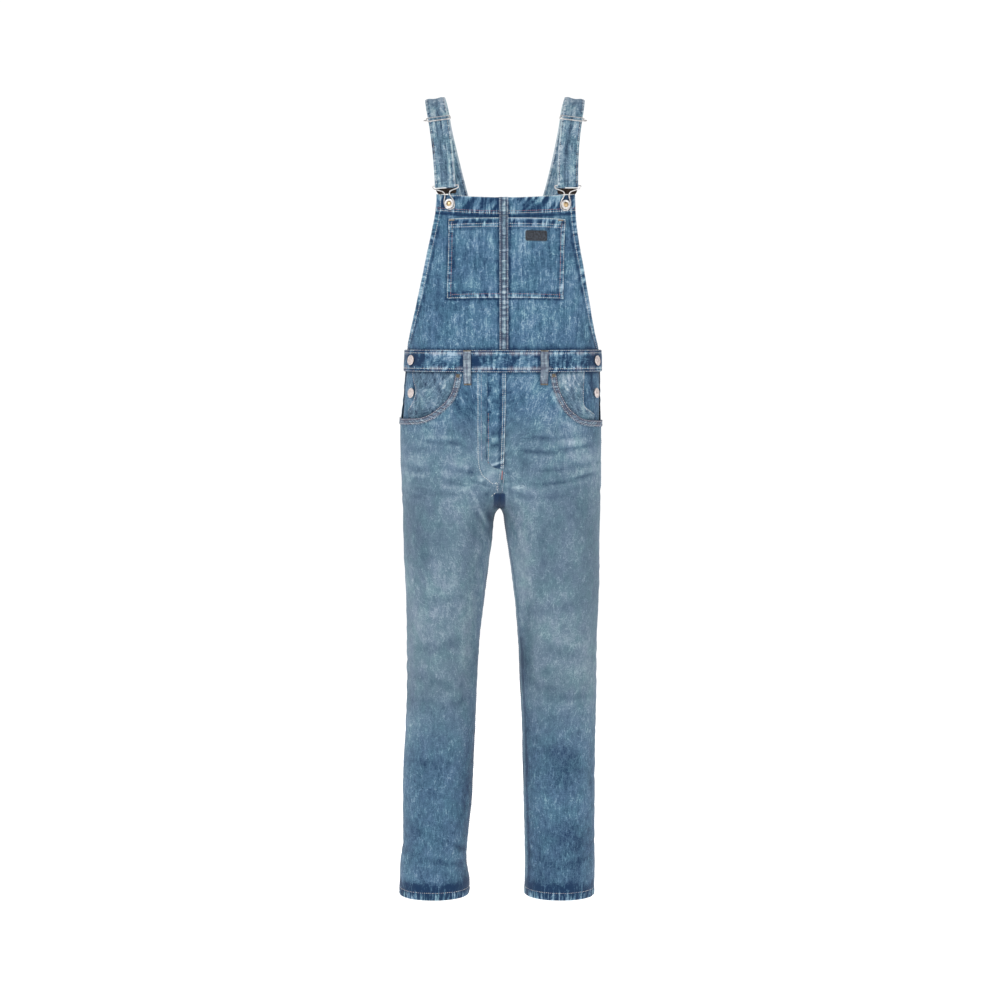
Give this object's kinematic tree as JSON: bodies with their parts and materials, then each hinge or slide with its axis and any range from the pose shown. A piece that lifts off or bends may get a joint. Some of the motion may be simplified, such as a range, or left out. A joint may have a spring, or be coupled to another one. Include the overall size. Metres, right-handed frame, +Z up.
{
  "type": "denim dungarees",
  "caption": "Filled-out denim dungarees with a pocketed bib, adjustable shoulder straps with wire buckles, a fly, belt loops, curved hip pockets and straight legs.",
  "frame": {"origin": "on the line across the shoulders, midway between the undersides of the two straps, where a wearer carries the garment", "axes": "+Z up, +X towards the wearer's left, -Y towards the front of the garment"},
  "size_m": [0.3865, 0.2495, 1.5094],
  "materials": {
    "denim": "stonewashed mid-blue denim, matt",
    "pale_denim": "stonewashed denim, a little paler, matt",
    "steel": "satin nickel-plated steel",
    "enamel": "plain near-black enamel"
  },
  "bodies": {
    "root": {"front_leg_right": "denim", "front_leg_left": "denim", "back_leg_right": "denim", "back_leg_left": "denim", "hip_facing_right": "pale_denim", "hip_facing_left": "pale_denim", "side_placket_right": "denim", "side_placket_left": "denim", "pocket_mouth_band_right": "pale_denim", "pocket_mouth_band_left": "pale_denim", "fly_placket": "denim", "waistband_front": "denim", "waistband_back": "denim", "belt_loop_front_right": "pale_denim", "belt_loop_front_left": "pale_denim", "belt_loop_back_right": "pale_denim", "belt_loop_back_left": "pale_denim", "bib_right": "denim", "bib_left": "denim", "bib_pocket": "denim", "bib_centre_strip": "pale_denim", "back_bib": "denim", "strap_right": "pale_denim", "strap_left": "pale_denim", "slider_right": "steel", "slider_left": "steel", "buckle_right": "steel", "buckle_left": "steel", "bib_button_right": "steel", "bib_button_left": "steel", "side_button_upper_right": "steel", "side_button_upper_left": "steel", "side_button_lower_right": "steel", "side_button_lower_left": "steel", "pocket_plaque": "enamel"}
  },
  "joints": []
}
